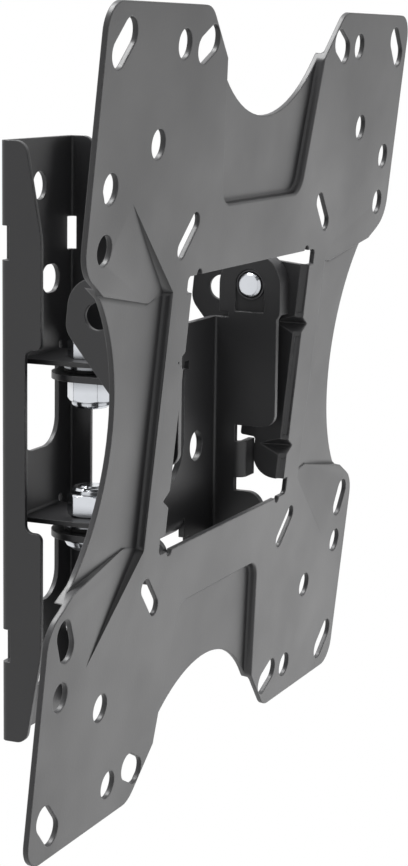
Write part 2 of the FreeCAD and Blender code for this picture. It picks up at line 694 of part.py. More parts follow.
    # coined patch round the tilt bolt, inside each ear
    coin = new_sketch(body, "coin_section", "YZ_Plane", yoke_half)
    outline(coin, [
        (pivot_y - s.coin_half, s.coin_low), (pivot_y + s.coin_half, s.coin_low),
        (pivot_y + s.coin_half, s.pivot_rise, None, s.coin_half),
        (pivot_y, s.pivot_rise + s.coin_half, None, s.coin_half),
        (pivot_y - s.coin_half, s.pivot_rise),
    ])
    coin_cut = pocket(body, coin, "coin_cut", s.coin_depth, back=True)
    mirror(body, [stop_pad, rim_pad, coin_cut], "YZ_Plane", "yoke_mirrored")

    ear_bore = new_sketch(body, "ear_bores", "YZ_Plane")
    add_circle(ear_bore, pivot_y, s.pivot_rise, s.insert_radius + s.seat_gap)
    pocket(body, ear_bore, "ear_bore_cuts")
    return body


def slant_cut(body, name, corners, shift):
    """A triangle drawn on the line of a slanting wall, pushed square to that wall.

    It shapes the sloping facets above and below the side fields. Each starts at
    the foot of the wall, as deep as the field, and rises to the plate's face at
    the wall's outer end. shift moves the drawing off the wall's own line.
    """
    facet = new_sketch(body, "facet_%s" % name, "XZ_Plane")
    turn = math.degrees(math.atan2(wall_up.value, wall_across.value))
    axes = FreeCAD.Rotation(FreeCAD.Vector(0, 0, 1), turn)
    axes = axes.multiply(FreeCAD.Rotation(FreeCAD.Vector(1, 0, 0), 90))
    x = s.side_field - shift * wall_up / wall_run
    y = s.side_field_half + shift * wall_across / wall_run
    facet.AttachmentOffset = FreeCAD.Placement(vector(x, y), axes)
    bind(facet, "AttachmentOffset.Base.x", x)
    bind(facet, "AttachmentOffset.Base.y", y)
    outline(facet, corners)
    cut = pocket(body, facet, "facet_%s_cut" % name, wall_run + shift, back=True)
    both_ways(body, [cut], ("YZ_Plane", "XY_Plane"), "facet_%s_all" % name)


def plate_holes(body):
    """Round holes and slots for the screws of the screen, and the middle window."""
    holes = new_sketch(body, "screen_holes", "XZ_Plane")
    a, b, c, d = s.vesa_outer, s.vesa_middle, s.vesa_inner, s.spare_row
    for up in (1, -1):
        add_circle(holes, b, b * up, s.round_hole)
        add_circle(holes, d, a * up, s.round_hole)
        add_circle(holes, a, d * up, s.round_hole)
        add_slot(holes, a, a * up, s.corner_run, s.slot_hole, -45 * up)
        add_slot(holes, c, a * up, s.edge_run, s.slot_hole, -s.slot_lean * up)
        add_slot(holes, c, c * up, s.inner_run, s.thin_slot_hole, -45 * up)
    add_circle(holes, a, c, s.round_hole)
    add_slot(holes, a, -c, s.side_run, s.slot_hole, 90 - s.slot_lean)
    cut = pocket(body, holes, "screen_hole_cuts")
    mirror(body, [cut], "YZ_Plane", "screen_holes_mirrored")

    window = new_sketch(body, "middle_window", "XZ_Plane")
    outline(window, [
        (-s.window_side, -s.window_half, s.window_round), (s.window_side, -s.window_half, s.window_round),
        (s.window_side, s.flange_bottom), (window_x, s.flange_bottom), (window_x, s.flange_top),
        (s.window_side, s.flange_top), (s.window_side, s.window_half, s.window_round),
        (-s.window_side, s.window_half, s.window_round), (-s.window_side, s.flange_top),
        (-window_x, s.flange_top), (-window_x, s.flange_bottom), (-s.window_side, s.flange_bottom),
    ])
    pocket(body, window, "middle_window_cut")
    relief = new_sketch(body, "window_reliefs", "XZ_Plane")
    for x in (flange_x - 2, 2 - flange_x):
        for z in (s.window_half, -s.window_half):
            add_circle(relief, x, z, s.window_relief)
    pocket(body, relief, "window_relief_cuts")


def plate_gussets(body):
    """Short diagonal grooves pressed into both bends, with their ribs behind.

    Each groove is a V whose bottom line runs straight from the plate's face to
    the flange's face. It is drawn on a plane square to that line, with the
    sketch's x pointing out towards the corner of the bend.
    """
    run, deep = flange_turn + s.gusset_reach, s.gusset_depth
    line = root(run * run + deep * deep)
    corner = run * deep / line
    slope = s.gusset_half / corner

    def draw(name, tip, far):
        sketch = new_sketch(body, name, "XY_Plane")
        out = FreeCAD.Vector(-deep.value, -run.value, 0).normalize()
        along = FreeCAD.Vector(-run.value, deep.value, 0).normalize()
        axes = FreeCAD.Rotation(out, FreeCAD.Vector(0, 0, 1), along, "ZXY")
        sketch.AttachmentOffset = FreeCAD.Placement(vector(flange_x + run, 0), axes)
        bind(sketch, "AttachmentOffset.Base.x", flange_x + run)
        for up in (s.gusset_high, s.gusset_low):
            wide = (far - tip) * slope
            outline(sketch, [(tip, up), (far, up - wide), (far, up + wide)])
        return sketch

    made = [pad(body, draw("gusset_ribs", -s.gusset_wall, corner * 0.66), line + 0.4, "gusset_rib_pads")]
    trim = new_sketch(body, "gusset_front_trim", "XZ_Plane")
    outline(trim, [(flange_x - 5, s.flange_bottom), (window_x + 10, s.flange_bottom),
                   (window_x + 10, s.flange_top), (flange_x - 5, s.flange_top)])
    made.append(pocket(body, trim, "gusset_front_trim_cut", 10, back=True))
    side = new_sketch(body, "gusset_side_trim", "YZ_Plane", flange_x)
    outline(side, [(-5, s.flange_bottom), (s.gusset_depth + 5, s.flange_bottom),
                   (s.gusset_depth + 5, s.flange_top), (-5, s.flange_top)])
    made.append(pocket(body, side, "gusset_side_trim_cut", 10))
    made.append(pocket(body, draw("gusset_grooves", size(0), corner + 2), "gusset_groove_cuts", line + 1, back=True))
    mirror(body, made, "YZ_Plane", "gussets_mirrored")


def plate_flanges(body):
    """The flanges that fold back beside the window and hang on the tilt bolts."""
    t = s.plate_sheet
    fold = new_sketch(body, "flange_fold", "XY_Plane", s.flange_bottom)
    outer = s.flange_bend + t
    outline(fold, [
        (window_x + t, 0), (window_x + t, t), (window_x, t, None, s.flange_bend),
        (flange_x + t, outer), (flange_x + t, outer + t), (flange_x, outer + t),
        (flange_x, outer, None, -outer), (window_x, 0),
    ])
    bend = pad(body, fold, s.flange_top - s.flange_bottom, "flange_bend_strip")

    lobe_back = s.lobe_depth + s.lobe_radius
    lobe_foot = s.flange_rise + (lobe_back - s.flange_middle) * s.lobe_slope
    side = new_sketch(body, "flange_side", "YZ_Plane", flange_x)
    outline(side, [
        (outer, s.flange_bottom), (s.flange_back, s.flange_bottom, s.flange_foot_round),
        (s.flange_back, s.flange_step, 0.8), (s.flange_middle, s.flange_step, 0.8),
        (s.flange_middle, s.flange_rise, s.lobe_radius), (lobe_back, lobe_foot, s.lobe_radius * 0.7),
        (lobe_back, s.lobe_up + s.lobe_radius, s.lobe_radius * 0.9),
        (s.lobe_depth - s.lobe_radius * 0.4, s.flange_top, s.lobe_radius * 0.5), (outer, s.flange_top),
    ])
    wing = pad(body, side, t, "flange_wing")
    mirror(body, [bend, wing], "YZ_Plane", "flanges_mirrored")

    bores = new_sketch(body, "flange_bores", "YZ_Plane")
    add_circle(bores, s.pivot_depth, s.pivot_up, swivel_hole)
    add_circle(bores, s.lobe_depth, s.lobe_up, s.lobe_hole)
    pocket(body, bores, "flange_bore_cuts")
    plate_gussets(body)


def make_vesa_plate():
    """The pressed front plate, drawn upright round its own centre, then leaned forward."""
    body = new_body("vesa_plate")
    half, press, sheet_t = s.vesa_outer + s.plate_edge, s.press_depth, s.plate_sheet
    thick = press + sheet_t

    front = new_sketch(body, "plate_square", "XZ_Plane")
    outline(front, [
        (-half, -half, s.plate_corner), (half, -half, s.plate_corner),
        (half, half, s.plate_corner), (-half, half, s.plate_corner),
    ])
    pad(body, front, thick, "plate_slab", back=True)

    # all but the pressed fields is cleared from behind, a sheet's thickness off their walls
    beyond = half + 10
    step_end = s.step_y + (beyond - s.step_x) * s.step_slope
    wall, wall_end = s.side_field - sheet_t, s.side_field_half + sheet_t
    tip_x = s.facet_x - sheet_t * wall_up / wall_run
    tip_y = s.facet_y + sheet_t * wall_across / wall_run
    meet = (s.facet_y - s.step_y - sheet_t - (s.facet_x - s.step_x) * s.step_slope)
    meet = meet * wall_run / (wall_across + s.step_slope * wall_up)
    meet_x = s.facet_x + meet * wall_up / wall_run
    meet_y = s.facet_y - meet * wall_across / wall_run
    low, foot, end = s.field_base - sheet_t, s.field_foot + sheet_t, s.field_end + sheet_t
    turned = s.field_round + sheet_t
    corner = [
        (foot, low, turned), (end, beyond), (beyond, beyond), (beyond, step_end + sheet_t),
        (meet_x, meet_y), (s.facet_x, s.facet_y), (tip_x, tip_y), (wall, wall_end),
    ]
    behind = new_sketch(body, "field_backs", "XZ_Plane", -thick)
    ring = []
    for a, b in ((1, 1), (1, -1), (-1, -1), (-1, 1)):
        quarter = [(c[0] * a, c[1] * b) + tuple(c[2:]) for c in corner]
        ring += quarter if a * b > 0 else quarter[::-1]
    outline(behind, ring)
    pocket(body, behind, "field_back_cuts", press, back=True)
    slant_cut(body, "back", [(-1, -thick), (0, -thick), (wall_run, -sheet_t), (wall_run + 1, -sheet_t),
                             (wall_run + 1, -thick * 2), (-1, -thick * 2)], sheet_t)

    # floors of the side fields with the walls of their steps
    step_edge = s.step_y + (half - s.step_x) * s.step_slope
    floors = new_sketch(body, "side_floors", "XZ_Plane", -thick)
    for sign in (1, -1):
        outline(floors, [
            (wall * sign, -wall_end), (s.step_x * sign, -s.step_y - sheet_t),
            (half * sign, -step_edge - sheet_t), (half * sign, step_edge + sheet_t),
            (s.step_x * sign, s.step_y + sheet_t), (wall * sign, wall_end),
        ])
    pad(body, floors, thick - 1, "side_floor_pads")

    # the fields themselves, sunk from the front
    fields = new_sketch(body, "field_fronts", "XZ_Plane")
    for sign in (1, -1):
        outline(fields, [
            (-s.field_foot, s.field_base * sign, s.field_round),
            (s.field_foot, s.field_base * sign, s.field_round),
            (s.field_end, beyond * sign), (-s.field_end, beyond * sign),
        ])
        outline(fields, [
            (s.side_field * sign, -s.side_field_half), (s.step_x * sign, -s.step_y),
            (beyond * sign, -step_end), (beyond * sign, step_end),
            (s.step_x * sign, s.step_y), (s.side_field * sign, s.side_field_half),
        ])
    pocket(body, fields, "field_front_cuts", press)
    slant_cut(body, "front", [(0, 5), (0, -press), (wall_run, 0), (wall_run, 5)], size(0))

    # arcs with sloping shoulders in the four edges
    arc_rise = s.top_arc_apex + s.top_arc_radius
    arc_rise = arc_rise - root(s.top_arc_radius * s.top_arc_radius - s.top_arc_half * s.top_arc_half)
    arc_out = s.side_arc_apex + s.side_arc_radius
    arc_out = arc_out - root(s.side_arc_radius * s.side_arc_radius - s.side_arc_half * s.side_arc_half)
    top_cut = new_sketch(body, "top_arcs", "XZ_Plane")
    side_cut = new_sketch(body, "side_arcs", "XZ_Plane")
    for sign in (1, -1):
        edge, past = half * sign, beyond * sign
        outline(top_cut, [
            (-s.top_arc_half, arc_rise * sign, None, s.top_arc_radius * sign),
            (s.top_arc_half, arc_rise * sign), (s.top_lobe, edge, s.top_lobe_round),
            (s.top_lobe + 15, edge), (s.top_lobe + 15, past), (-s.top_lobe - 15, past),
            (-s.top_lobe - 15, edge), (-s.top_lobe, edge, s.top_lobe_round),
        ])
        outline(side_cut, [
            (arc_out * sign, s.side_arc_half, None, s.side_arc_radius * sign),
            (arc_out * sign, -s.side_arc_half), (edge, -s.side_lobe, s.side_lobe_round),
            (edge, -s.side_lobe - 15), (past, -s.side_lobe - 15), (past, s.side_lobe + 15),
            (edge, s.side_lobe + 15), (edge, s.side_lobe, s.side_lobe_round),
        ])
    pocket(body, top_cut, "top_arc_cuts")
    pocket(body, side_cut, "side_arc_cuts")
    plate_holes(body)
    plate_flanges(body)

    # the plate leans about the tilt axis
    lean_y = pivot_y - s.pivot_depth * cosine(s.rest_tilt) + s.pivot_up * sine(s.rest_tilt)
    lean_z = s.pivot_rise - s.pivot_depth * sine(s.rest_tilt) - s.pivot_up * cosine(s.rest_tilt)
    return place(body, 0, lean_y, lean_z, (1, 0, 0), s.rest_tilt)


# Bolts, nuts and washers. Each is drawn on its own axis: the bearing face is the
# plane z = 0, a bolt's head or a nut's body stands above it, a bolt's shank below.

def hexagon(sketch, flats):
    """A hexagon with two corners on the x axis."""
    corner = flats / root(size(3))
    corners = []
    for step in range(6):
        angle = size(60.0 * step)
        corners.append((corner * cosine(angle), corner * sine(angle)))
    outline(sketch, corners)


def corner_cone(body, name, low, high, top):
    """Takes the corners off a hexagon's ends, as turning does, at 30 degrees."""
    flat = s.hex_flats / 2
    corner = s.hex_flats / root(size(3))
    drop = (corner - flat) * 0.577
    ring = new_sketch(body, name, "XZ_Plane")
    if top:
        outline(ring, [(flat * 0.97, high), (corner + 1, high - drop - 0.6), (corner + 1, high + 1),
                       (flat * 0.97, high + 1)])
    else:
        outline(ring, [(flat * 0.97, low), (flat * 0.97, low - 1), (corner + 1, low - 1),
                       (corner + 1, low + drop + 0.6)])
    groove = body.newObject("PartDesign::Groove", name + "_turned")
    groove.Profile = ring
    groove.ReferenceAxis = (ring, ["V_Axis"])
    groove.Angle = 360
    doc.recompute()
    return groove


def make_bolt(name, length, domed=False):
    """A bolt with a hex head, or with a round head where nothing has to grip it."""
    body = new_body(name)
    if domed:
        profile = new_sketch(body, name + "_head", "XZ_Plane")
        outline(profile, [
            (0, 0), (s.dome_radius, 0), (s.dome_radius, s.dome_height * 0.25),
            (s.dome_radius * 0.9, s.dome_height * 0.58), (s.dome_radius * 0.68, s.dome_height * 0.88),
            (s.dome_radius * 0.4, s.dome_height), (0, s.dome_height),
        ])
        head = body.newObject("PartDesign::Revolution", name + "_dome")
        head.Profile = profile
        head.ReferenceAxis = (profile, ["V_Axis"])
        head.Angle = 360
        doc.recompute()
    else:
        profile = new_sketch(body, name + "_head", "XY_Plane")
        hexagon(profile, s.hex_flats)
        pad(body, profile, s.head_height, name + "_hex")
        corner_cone(body, name + "_head_top", 0, s.head_height, True)
    stem = new_sketch(body, name + "_stem", "XY_Plane")
    add_circle(stem, 0, 0, s.bolt_radius)
    shank = pad(body, stem, length, name + "_shank", back=True)
    end = vector(-s.bolt_radius, 0, -length)
    round_edges(body, shank, [end], s.bolt_tip, name + "_tip", "PartDesign::Chamfer")
    return body


def make_lock_nut(name):
    """A lock nut: a hexagon with a turned collar that holds a nylon ring."""
    body = new_body(name)
    profile = new_sketch(body, name + "_section", "XY_Plane")
    hexagon(profile, s.hex_flats)
    pad(body, profile, s.nut_hex, name + "_hex")
    corner_cone(body, name + "_foot", 0, s.nut_hex, False)
    corner_cone(body, name + "_top", 0, s.nut_hex, True)
    collar = new_sketch(body, name + "_collar_section", "XY_Plane", s.nut_hex)
    add_circle(collar, 0, 0, s.collar_radius)
    tall = s.nut_height - s.nut_hex
    rim = pad(body, collar, tall, name + "_collar")
    edge = vector(-s.collar_radius, 0, s.nut_height)
    round_edges(body, rim, [edge], tall * 0.45, name + "_collar_edge", "PartDesign::Chamfer")
    bore = new_sketch(body, name + "_bore", "XY_Plane")
    add_circle(bore, 0, 0, s.bolt_radius + s.seat_gap)
    pocket(body, bore, name + "_bore_cut")
    seat = new_sketch(body, name + "_ring_seat", "XY_Plane", s.nut_height)
    add_circle(seat, 0, 0, ring_outer + s.seat_gap)
    pocket(body, seat, name + "_ring_cut", s.ring_height + 0.3)
    return body


def make_ring(name, inner, outer, thick):
    """A flat ring that stands on z = 0."""
    body = new_body(name)
    section = new_sketch(body, name + "_section", "XY_Plane")
    add_circle(section, 0, 0, outer)
    add_circle(section, 0, 0, inner)
    pad(body, section, thick, name + "_ring")
    return body


def make_insert(name):
    """A threaded insert: a flange outside the ear and a neck through it."""
    body = new_body(name)
    profile = new_sketch(body, name + "_section", "XZ_Plane")
    inner = s.bolt_radius + s.seat_gap
    neck = s.yoke_sheet - s.coin_depth * 0.3
    outline(profile, [
        (inner, -neck), (s.insert_radius, -neck), (s.insert_radius, 0), (s.insert_flange, 0),
        (s.insert_flange, s.insert_thick), (inner, s.insert_thick),
    ])
    turned = body.newObject("PartDesign::Revolution", name + "_turned")
    turned.Profile = profile
    turned.ReferenceAxis = (profile, ["V_Axis"])
    turned.Angle = 360
    doc.recompute()
    return body


def swivel_stack(number, word):
    """The bolt, washers and lock nut at one level of the swivel."""
    level, tongue = tab_levels[number], tongue_tops[number]
    under_tab = level - s.wall_sheet
    under_tongue = tongue - s.yoke_sheet
    length = s.wall_sheet + stack + s.slip_gap * 2 + s.yoke_sheet + s.nut_height + s.bolt_spare
    made = []
    inner = s.bolt_radius + s.seat_gap
    upright, flipped = 0, 180
    if number == 0:
        bolt = make_bolt("%s_swivel_bolt" % word, length)
        made.append(place(bolt, 0, swivel_y, level, spin=s.nut_spin))
        nut_z, nut_turn = under_tongue - s.slip_gap, flipped
    else:
        bolt = make_bolt("%s_swivel_bolt" % word, length, domed=True)
        made.append(place(bolt, 0, swivel_y, under_tongue - s.slip_gap, (1, 0, 0), 180))
        nut_z, nut_turn = level, upright
    nut = make_lock_nut("%s_lock_nut" % word)
    made.append(place(nut, 0, swivel_y, nut_z, (1, 0, 0), nut_turn, s.nut_spin))
    ring = make_ring("%s_nylon_ring" % word, inner, ring_outer, s.ring_height)
    lift = s.nut_height - s.ring_height
    ring_z = nut_z - s.nut_height if nut_turn else nut_z + lift
    made.append(place(ring, 0, swivel_y, ring_z))
    steel = make_ring("%s_steel_washer" % word, inner, s.washer_radius, s.washer_thick)
    made.append(place(steel, 0, swivel_y, under_tab - s.washer_thick))
    slip = make_ring("%s_slip_washer" % word, inner, s.washer_radius, s.slip_washer)
    made.append(place(slip, 0, swivel_y, under_tab - stack))
    return made


def tilt_stack(sign, word):
    """The bolt, washer, friction bush and threaded insert on one side of the tilt axis."""
    made = []
    inner = s.bolt_radius + s.seat_gap
    angle = 90 * sign

    def seat(body, distance):
        made.append(place(body, distance * sign, pivot_y, s.pivot_rise, (0, 1, 0), angle))

    outside = flange_x + s.plate_sheet + s.slip_gap
    seat(make_insert("%s_threaded_insert" % word), cheek_half)
    bush = s.side_gap - s.insert_thick - s.slip_gap
    seat(make_ring("%s_friction_bush" % word, inner, s.bush_radius, bush), cheek_half + s.insert_thick)
    seat(make_ring("%s_tilt_washer" % word, inner, s.tilt_washer_radius, s.washer_thick), outside)
    length = outside + s.washer_thick - yoke_half + s.tip_inside
    seat(make_bolt("%s_tilt_bolt" % word, length), outside + s.washer_thick)
    return made


# Runs of the model.
pieces = [make_wall_plate(), make_yoke(), make_vesa_plate()]
pieces += swivel_stack(0, "upper") + swivel_stack(1, "lower")
pieces += tilt_stack(-1, "left") + tilt_stack(1, "right")

doc.recompute()
for item in doc.Objects:
    if "Invalid" in item.State or "Error" in item.State:
        raise RuntimeError("%s is %s" % (item.Name, item.State))
os.makedirs("parts", exist_ok=True)
for piece in pieces:
    shape = piece.Shape
    if shape.isNull() or not shape.isValid():
        raise RuntimeError("%s has no valid shape" % piece.Label)
    if len(shape.Solids) != 1:
        raise RuntimeError("%s has %d solids" % (piece.Label, len(shape.Solids)))
    shape.exportStep("parts/%s.step" % piece.Label)
    box = shape.BoundBox
    print("%-22s %9.1f mm3  x %.1f..%.1f  y %.1f..%.1f  z %.1f..%.1f" % (
        piece.Label, shape.Volume, box.XMin, box.XMax, box.YMin, box.YMax, box.ZMin, box.ZMax))
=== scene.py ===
# %% [markdown]
# # A tilting wall mount for a flat screen
#
# The mount is three folded sheets of steel, coated in dark powder and joined by bright zinc
# bolts. The measured solids come in as a fixed frame, in metres, with the wall at y = 0 and
# the screen side towards -y. This lesson dresses them: first the helpers, then the finishes,
# then each kind of piece, and at the end the light and the camera.

# %% Load the frame
import math

import bmesh
import bpy
from mathutils import Matrix, Vector


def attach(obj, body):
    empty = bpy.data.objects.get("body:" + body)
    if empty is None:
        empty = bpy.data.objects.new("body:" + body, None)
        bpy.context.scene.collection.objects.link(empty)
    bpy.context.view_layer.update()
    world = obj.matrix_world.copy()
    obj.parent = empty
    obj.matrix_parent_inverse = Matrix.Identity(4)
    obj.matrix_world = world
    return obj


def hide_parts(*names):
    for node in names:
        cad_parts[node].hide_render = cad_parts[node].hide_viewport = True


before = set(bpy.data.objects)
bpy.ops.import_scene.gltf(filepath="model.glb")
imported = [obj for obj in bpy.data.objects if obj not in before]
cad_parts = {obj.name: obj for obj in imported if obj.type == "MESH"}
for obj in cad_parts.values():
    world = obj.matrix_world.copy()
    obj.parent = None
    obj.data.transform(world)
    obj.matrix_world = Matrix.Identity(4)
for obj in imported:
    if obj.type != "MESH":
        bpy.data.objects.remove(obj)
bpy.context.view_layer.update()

# %% [markdown]
# Colours are easier to choose as the numbers a picture editor shows, from 0 to 255. Blender
# works in linear light, so one small function turns the first kind into the second. Another
# makes a linear colour darker or lighter by a share.

# %% Colour helpers


def tone(red, green, blue):
    """A picture editor's colour as a linear colour with full alpha."""
    out = []
    for value in (red, green, blue):
        share = value / 255
        out.append(share / 12.92 if share <= 0.04045 else ((share + 0.055) / 1.055) ** 2.4)
    return (*out, 1.0)


def scaled(colour, share):
    """A linear colour times a share, with full alpha."""
    return (*(min(1.0, v * share) for v in colour[:3]), 1.0)


print("mid grey:", [round(v, 3) for v in tone(128, 128, 128)])

# %% [markdown]
# Materials and trees are built from nodes, and a few short helpers keep that readable: one
# adds a node and sets it by name, one gives a group a numeric socket, and one makes the node
# that maps one range of numbers to another.

# %% Node helpers


def add(tree, kind, **values):
    """A node of one kind, with attributes or input values set by name."""
    node = tree.nodes.new(kind)
    for name, value in values.items():
        if name in node.inputs:
            node.inputs[name].default_value = value
        else:
            setattr(node, name, value)
    return node


def number_socket(group, name, value=None):
    """A number that a group takes in or, where no value is given, puts out."""
    way = "OUTPUT" if value is None else "INPUT"
    socket = group.interface.new_socket(name=name, in_out=way, socket_type="NodeSocketFloat")
    if value is not None:
        socket.default_value = value


def add_range(tree, start, end, low=0.0, high=1.0):
    """A node that turns start to end into low to high, and stops at both."""
    node = add(tree, "ShaderNodeMapRange")
    limits = {"From Min": start, "From Max": end, "To Min": low, "To Max": high}
    for name, value in limits.items():
        node.inputs[name].default_value = value
    return node


print("helpers:", [helper.__name__ for helper in (add, number_socket, add_range)])

# %% [markdown]
# Powder coat is sprayed dry and melted in an oven. It flows into a skin with a faint orange
# peel: soft bumps under a millimetre wide, and a slight drift of gloss over the sheet. The
# coat, the zinc and the nylon all need some grain like that, so it is one node group with
# named inputs that each material sets in its own way. Scales are in repeats per metre.

# %% Shared group: grain
COAT_PEEL = 1400.0
COAT_DRIFT = 22.0


def make_grain():
    """Fine bumps and a slow drift, both read from the object's own coordinates."""
    group = bpy.data.node_groups.new("grain", "ShaderNodeTree")
    number_socket(group, "Bump scale", COAT_PEEL)
    number_socket(group, "Drift scale", COAT_DRIFT)
    number_socket(group, "Height")
    number_socket(group, "Drift")
    source = add(group, "NodeGroupInput")
    target = add(group, "NodeGroupOutput")
    place = add(group, "ShaderNodeTexCoord")
    peel = add(group, "ShaderNodeTexNoise", Detail=2.0, Roughness=0.45)
    drift = add(group, "ShaderNodeTexNoise", Detail=3.0, Roughness=0.6)
    join = group.links.new
    join(place.outputs["Object"], peel.inputs["Vector"])
    join(place.outputs["Object"], drift.inputs["Vector"])
    join(source.outputs["Bump scale"], peel.inputs["Scale"])
    join(source.outputs["Drift scale"], drift.inputs["Scale"])
    join(peel.outputs["Fac"], target.inputs["Height"])
    join(drift.outputs["Fac"], target.inputs["Drift"])
    return group


grain = make_grain()
print("group:", grain.name, [item.name for item in grain.interface.items_tree])

# %% [markdown]
# The second effect is a mask of rubbed places. Sharp edges of a coated sheet carry less
# powder, and a bolt's corners lose their dull film first. On the coat the light colour of
# these edges is also a painted highlight. The mask comes from how much a smoothed normal
# differs from the true one, broken up by noise so that no edge is even. The cosine between
# the two normals is near 1 on a flat face and falls on an edge.

# %% Shared group: rubbed edges
EDGE_WIDTH = 0.0004
FLAT_COSINE, EDGE_COSINE = 0.995, 0.80
PATCH_SCALE = 300.0
PATCH_START, PATCH_FULL = 0.35, 0.70


def make_rub_and_highlight():
    """A mask that rises towards 1 on sharp edges and is 0 on flat faces."""
    group = bpy.data.node_groups.new("rubbed and highlighted edges", "ShaderNodeTree")
    number_socket(group, "Width", EDGE_WIDTH)
    number_socket(group, "Break up", PATCH_SCALE)
    number_socket(group, "Mask")
    source = add(group, "NodeGroupInput")
    target = add(group, "NodeGroupOutput")
    soft = add(group, "ShaderNodeBevel", samples=4)
    true = add(group, "ShaderNodeNewGeometry")
    dot = add(group, "ShaderNodeVectorMath", operation="DOT_PRODUCT")
    spread = add_range(group, FLAT_COSINE, EDGE_COSINE)
    place = add(group, "ShaderNodeTexCoord")
    noise = add(group, "ShaderNodeTexNoise", Detail=3.0, Roughness=0.6)
    patch = add_range(group, PATCH_START, PATCH_FULL)
    both = add(group, "ShaderNodeMath", operation="MULTIPLY")
    join = group.links.new
    join(source.outputs["Width"], soft.inputs["Radius"])
    join(soft.outputs["Normal"], dot.inputs[0])
    join(true.outputs["Normal"], dot.inputs[1])
    join(dot.outputs["Value"], spread.inputs["Value"])
    join(place.outputs["Object"], noise.inputs["Vector"])
    join(source.outputs["Break up"], noise.inputs["Scale"])
    join(noise.outputs["Fac"], patch.inputs["Value"])
    join(spread.outputs["Result"], both.inputs[0])
    join(patch.outputs["Result"], both.inputs[1])
    join(both.outputs["Value"], target.inputs["Mask"])
    return group


rub_and_highlight = make_rub_and_highlight()
print("group:", rub_and_highlight.name, [item.name for item in rub_and_highlight.interface.items_tree])

# %% [markdown]
# The third effect is painted shade in tight corners: at the foot of a pressed step, round a
# washer and inside a bend. There the colour is darkened to paint the shade that falls into
# such corners, and the roughness rises so that the gloss goes dull. The group measures how
# much of the near surroundings is open.

# %% Shared group: shaded corners
CORNER_REACH = 0.004
CORNER_POWER = 1.5


def make_shade():
    """1 in the open, 0 in a tight corner, over a reach of a few millimetres."""
    group = bpy.data.node_groups.new("shaded corners", "ShaderNodeTree")
    number_socket(group, "Reach", CORNER_REACH)
    number_socket(group, "Power", CORNER_POWER)
    number_socket(group, "Open")
    source = add(group, "NodeGroupInput")
    target = add(group, "NodeGroupOutput")
    near = add(group, "ShaderNodeAmbientOcclusion", samples=8)
    curve = add(group, "ShaderNodeMath", operation="POWER")
    join = group.links.new
    join(source.outputs["Reach"], near.inputs["Distance"])
    join(near.outputs["AO"], curve.inputs[0])
    join(source.outputs["Power"], curve.inputs[1])
    join(curve.outputs["Value"], target.inputs["Open"])
    return group


shade = make_shade()
print("group:", shade.name, [item.name for item in shade.interface.items_tree])

# %% [markdown]
# One function builds every finish of the mount from the three groups: a base colour that
# drifts a little, a second colour for rubbed edges that on the coat is also a painted
# highlight, painted shade in the corners, a roughness with its own drift, and a bump over
# softly rounded edges. Only the values differ between coat, zinc and nylon.

# %% Finish builder
SKIN_IOR = 1.6
NOISE_LOW, NOISE_HIGH = 0.3, 0.7
SMOOTH_SHARE, ROUGH_SHARE = 0.9, 1.12
BUMP_DEPTH = 0.0002
CORNER_PAINTED_SHADE = 0.18
CORNER_DULL = 1.8


def make_finish(name, colour, worn_and_highlight, rough, bump, metal=0.0, peel=COAT_PEEL, drift=COAT_DRIFT,
                shift=0.12, wear_and_highlight=0.5, width=EDGE_WIDTH, soft=0.0004, reach=CORNER_REACH):
    """A procedural finish.

    shift is how far the colour drifts over the piece, soft the radius that edges seem
    rounded by, and reach how far the painted shade in corners goes.
    """
    finish = bpy.data.materials.new(name)
    finish.use_nodes = True
    tree = finish.node_tree
    shader = tree.nodes["Principled BSDF"]
    shader.inputs["Metallic"].default_value = metal
    shader.inputs["IOR"].default_value = SKIN_IOR
    fine = add(tree, "ShaderNodeGroup", node_tree=grain)
    fine.inputs["Bump scale"].default_value = peel
    fine.inputs["Drift scale"].default_value = drift
    edge = add(tree, "ShaderNodeGroup", node_tree=rub_and_highlight)
    edge.inputs["Width"].default_value = width
    corner = add(tree, "ShaderNodeGroup", node_tree=shade)
    corner.inputs["Reach"].default_value = reach
    strength = add(tree, "ShaderNodeMath", operation="MULTIPLY")
    strength.inputs[1].default_value = wear_and_highlight
    body = add(tree, "ShaderNodeMix", data_type="RGBA")
    body.inputs["A"].default_value = scaled(colour, 1 - shift)
    body.inputs["B"].default_value = scaled(colour, 1 + shift)
    # Lighter colour on sharp edges: rubbed edges, and on the coat also a painted highlight.
    rubbed = add(tree, "ShaderNodeMix", data_type="RGBA")
    rubbed.inputs["B"].default_value = worn_and_highlight
    # Painted shade: in tight corners the colour darkens to a small share of itself.
    dim = add(tree, "ShaderNodeMix", data_type="RGBA")
    dim.inputs["A"].default_value = scaled(colour, CORNER_PAINTED_SHADE)
    gloss = add_range(tree, NOISE_LOW, NOISE_HIGH, rough * SMOOTH_SHARE, rough * ROUGH_SHARE)
    dull = add_range(tree, 0.0, 1.0, CORNER_DULL, 1.0)
    matt = add(tree, "ShaderNodeMath", operation="MULTIPLY")
    rolled = add(tree, "ShaderNodeBevel", samples=6)
    rolled.inputs["Radius"].default_value = soft
    relief = add(tree, "ShaderNodeBump", Strength=bump, Distance=BUMP_DEPTH)
    join = tree.links.new
    join(fine.outputs["Drift"], body.inputs["Factor"])
    join(edge.outputs["Mask"], strength.inputs[0])
    join(strength.outputs["Value"], rubbed.inputs["Factor"])
    join(body.outputs["Result"], rubbed.inputs["A"])
    join(corner.outputs["Open"], dim.inputs["Factor"])
    join(rubbed.outputs["Result"], dim.inputs["B"])
    join(dim.outputs["Result"], shader.inputs["Base Color"])
    join(fine.outputs["Drift"], gloss.inputs["Value"])
    join(corner.outputs["Open"], dull.inputs["Value"])
    join(gloss.outputs["Result"], matt.inputs[0])
    join(dull.outputs["Result"], matt.inputs[1])
    join(matt.outputs["Value"], shader.inputs["Roughness"])
    join(rolled.outputs["Normal"], relief.inputs["Normal"])
    join(fine.outputs["Height"], relief.inputs["Height"])
    join(relief.outputs["Normal"], shader.inputs["Normal"])
    return finish
